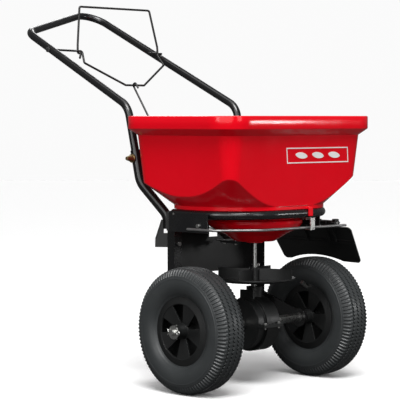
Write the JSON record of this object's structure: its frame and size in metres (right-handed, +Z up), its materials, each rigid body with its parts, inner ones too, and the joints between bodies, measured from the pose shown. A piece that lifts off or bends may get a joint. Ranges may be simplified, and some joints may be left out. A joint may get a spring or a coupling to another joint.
{
  "type": "broadcast spreader",
  "caption": "Walk-behind broadcast spreader with a deep hopper, spinning impeller driven by a wheel axle, bail-operated shut-off gate, side baffle, stand and air-filled tyres.",
  "frame": {"origin": "middle of the overall footprint, on the ground", "axes": "+Z up, +Y forwards in the direction of travel, +X to the operator's right"},
  "size_m": [0.598, 0.9695, 0.9571],
  "materials": {
    "hopper_red": "gloss",
    "frame_black": "gloss",
    "wire_black": "satin",
    "moulded_black": "satin",
    "tyre": "matte",
    "inner_tube": "matte",
    "zinc": "satin",
    "rod_grey": "satin",
    "brass": "satin",
    "nylon": "satin",
    "gear_metal": "satin"
  },
  "bodies": {
    "frame": {"axle_arm_left": "frame_black", "axle_arm_right": "frame_black", "axle_bushings": "nylon", "baffle_arm_front": "moulded_black", "baffle_arm_rear": "moulded_black", "baffle_knobs": "moulded_black", "baffle_pin": "zinc", "bowl_bushing": "nylon", "frame_bolts": "zinc", "gate_guides": "moulded_black", "gearbox_bolts": "zinc", "gearbox_bushings": "nylon", "gearbox_lower": "moulded_black", "gearbox_upper": "moulded_black", "guard_clip": "zinc", "guard_rod": "rod_grey", "handle_bolts": "zinc", "handle_knobs": "brass", "hoop_tube": "frame_black", "hopper": "hopper_red", "hopper_bowl": "hopper_red", "hopper_screws": "zinc", "lower_handle_left": "frame_black", "lower_handle_right": "frame_black", "pivot_bushings": "nylon", "rear_deflector": "moulded_black", "side_plate_left": "frame_black", "side_plate_right": "frame_black", "stand_feet": "moulded_black", "stand_tube": "frame_black", "upper_handle": "frame_black", "upright_left": "frame_black", "upright_right": "frame_black"},
    "drive_axle": {"axle": "zinc", "axle_washers": "zinc", "cotter_pins": "zinc", "axle_spacers": "zinc", "hub_spacers": "nylon", "roll_pins": "zinc", "crown_gear": "gear_metal", "wheel_right": "moulded_black", "tyre_right": "tyre", "inner_tube_right": "inner_tube", "valve_stem_right": "zinc"},
    "free_wheel": {"wheel_left": "moulded_black", "tyre_left": "tyre", "inner_tube_left": "inner_tube", "valve_stem_left": "zinc", "wheel_bushings": "nylon"},
    "impeller": {"impeller_shaft": "zinc", "pinion": "gear_metal", "impeller": "moulded_black", "impeller_pin": "zinc", "agitator": "zinc"},
    "lever": {"lever_wire": "wire_black"},
    "bail": {"bail_wire": "wire_black"},
    "control_rod": {"control_rod": "wire_black"},
    "gate": {"gate_plate": "moulded_black"},
    "baffle": {"side_baffle": "moulded_black"}
  },
  "joints": [
    {"name": "axle_spin", "type": "hinge", "parent": "frame", "child": "drive_axle", "pos_m": [0.00903, 0.3118, 0.1525], "axis": [1, 0, 0], "continuous": true},
    {"name": "free_wheel_spin", "type": "hinge", "parent": "frame", "child": "free_wheel", "pos_m": [-0.21537, 0.3118, 0.1525], "axis": [1, 0, 0], "continuous": true},
    {"name": "impeller_spin", "type": "hinge", "parent": "frame", "child": "impeller", "pos_m": [0.00903, 0.3118, 0.256], "axis": [0, 0, 1], "continuous": true},
    {"name": "lever_pull", "type": "hinge", "parent": "frame", "child": "lever", "pos_m": [0.00903, -0.2492, 0.8384], "axis": [1, 0, 0], "range_deg": [0, 10]},
    {"name": "bail_swing", "type": "hinge", "parent": "lever", "child": "bail", "pos_m": [0.00903, -0.1812, 0.834], "axis": [1, 0, 0], "range_deg": [-30, 50]},
    {"name": "rod_swing", "type": "hinge", "parent": "lever", "child": "control_rod", "pos_m": [0.00903, -0.1232, 0.746], "axis": [1, 0, 0], "range_deg": [-15.8, 0]},
    {"name": "gate_slide", "type": "slide", "parent": "frame", "child": "gate", "axis": [0, -1, 0], "range_m": [0, 0.0216]},
    {"name": "baffle_swing", "type": "hinge", "parent": "frame", "child": "baffle", "pos_m": [-0.24097, 0.3118, 0.392], "axis": [0, 1, 0], "range_deg": [0, 80]}
  ],
  "couplings": [
    {"joint": "impeller_spin", "follows": "axle_spin", "ratio": -4},
    {"joint": "rod_swing", "follows": "lever_pull", "ratio": -1.57},
    {"joint": "gate_slide", "follows": "lever_pull", "m_per_rad": 0.12318}
  ]
}
